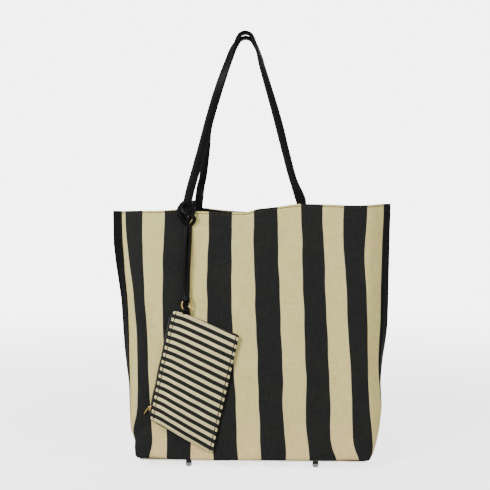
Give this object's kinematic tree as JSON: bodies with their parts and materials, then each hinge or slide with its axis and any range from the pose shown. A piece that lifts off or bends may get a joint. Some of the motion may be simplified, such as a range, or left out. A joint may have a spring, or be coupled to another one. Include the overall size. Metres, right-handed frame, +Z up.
{
  "type": "tote bag",
  "caption": "Striped canvas tote with leather side trim, slim arched handles, domed feet and a small striped zip pouch hung on a strap and ring from a handle.",
  "frame": {"origin": "bottom centre of the bounding box, on the plane of the feet", "axes": "+X to the bag's right seen from the front, the front faces -Y, +Z up"},
  "size_m": [0.416, 0.109, 0.6415],
  "materials": {
    "striped_canvas": "heavy cotton canvas with wide black and cream stripes, matte",
    "pouch_canvas": "cotton canvas with narrow black and cream stripes, matte",
    "lining_cotton": "thin plain cotton",
    "black_leather": "black grained leather, satin",
    "stiffener_board": "pressed board",
    "nickel": "polished nickel",
    "black_rubber": "matte",
    "gold_metal": "pale gold plate, polished",
    "zip_tape": "woven black tape",
    "zip_coil": "black nylon coil"
  },
  "bodies": {
    "bag": {"base_canvas": "striped_canvas", "base_board": "stiffener_board", "base_lining": "lining_cotton", "foot_front_left": "nickel", "foot_front_right": "nickel", "foot_back_left": "nickel", "foot_back_right": "nickel", "foot_collars": "black_rubber", "foot_backings": "nickel", "front_gusset_left": "striped_canvas", "front_gusset_right": "striped_canvas", "back_gusset_left": "striped_canvas", "back_gusset_right": "striped_canvas", "side_trim_left": "black_leather", "side_trim_right": "black_leather", "gusset_lining_left": "lining_cotton", "gusset_lining_right": "lining_cotton"},
    "front_wall": {"front_canvas": "striped_canvas", "front_lining": "lining_cotton", "front_hem_facing": "black_leather", "front_strap_roots": "black_leather", "hitch_loop": "black_leather"},
    "back_wall": {"back_canvas": "striped_canvas", "back_lining": "lining_cotton", "back_hem_facing": "black_leather", "back_strap_roots": "black_leather"},
    "front_handle": {"front_handle": "black_leather"},
    "back_handle": {"back_handle": "black_leather"},
    "pouch_strap": {"pouch_strap": "black_leather"},
    "ring": {"pouch_ring": "gold_metal"},
    "pouch": {"pouch_tab": "black_leather", "pouch_front": "pouch_canvas", "pouch_back": "pouch_canvas", "pouch_lining": "lining_cotton", "zip_tape": "zip_tape", "zip_teeth": "zip_coil"},
    "slider": {"zip_slider": "gold_metal"},
    "pull": {"zip_pull": "gold_metal"}
  },
  "joints": [
    {"name": "mouth_front", "type": "hinge", "parent": "bag", "child": "front_wall", "pos_m": [0, -0.04748, 0.01], "axis": [1, 0, 0], "range_deg": [0, 2.5]},
    {"name": "mouth_back", "type": "hinge", "parent": "bag", "child": "back_wall", "pos_m": [0, 0.05452, 0.01], "axis": [1, 0, 0], "range_deg": [-2.5, 0]},
    {"name": "front_handle_fold", "type": "hinge", "parent": "front_wall", "child": "front_handle", "pos_m": [0, -0.02618, 0.392], "axis": [1, 0, 0], "range_deg": [0, 120]},
    {"name": "back_handle_fold", "type": "hinge", "parent": "back_wall", "child": "back_handle", "pos_m": [0, 0.03322, 0.381], "axis": [-1, 0, 0], "range_deg": [0, 120]},
    {"name": "pouch_strap_swing", "type": "hinge", "parent": "front_wall", "child": "pouch_strap", "pos_m": [-0.092, -0.03661, 0.37537], "axis": [-1, 0, 0], "range_deg": [0, 30]},
    {"name": "pouch_tilt", "type": "hinge", "parent": "pouch_strap", "child": "ring", "pos_m": [-0.094, -0.04248, 0.235], "axis": [0, -0.9991, 0.0435], "range_deg": [-25, 25]},
    {"name": "pouch_swing", "type": "hinge", "parent": "ring", "child": "pouch", "pos_m": [-0.094, -0.0428, 0.22761], "axis": [-1, 0, 0], "range_deg": [0, 40]},
    {"name": "zip_slide", "type": "slide", "parent": "pouch", "child": "slider", "axis": [0.2045, 0.0426, 0.9779], "range_m": [0, 0.125]},
    {"name": "pull_swing", "type": "hinge", "parent": "slider", "child": "pull", "pos_m": [-0.14987, -0.04891, 0.08728], "axis": [0, 0.9991, -0.0435], "range_deg": [-26, 100]}
  ],
  "couplings": [
    {"joint": "mouth_back", "follows": "mouth_front", "ratio": -1}
  ]
}
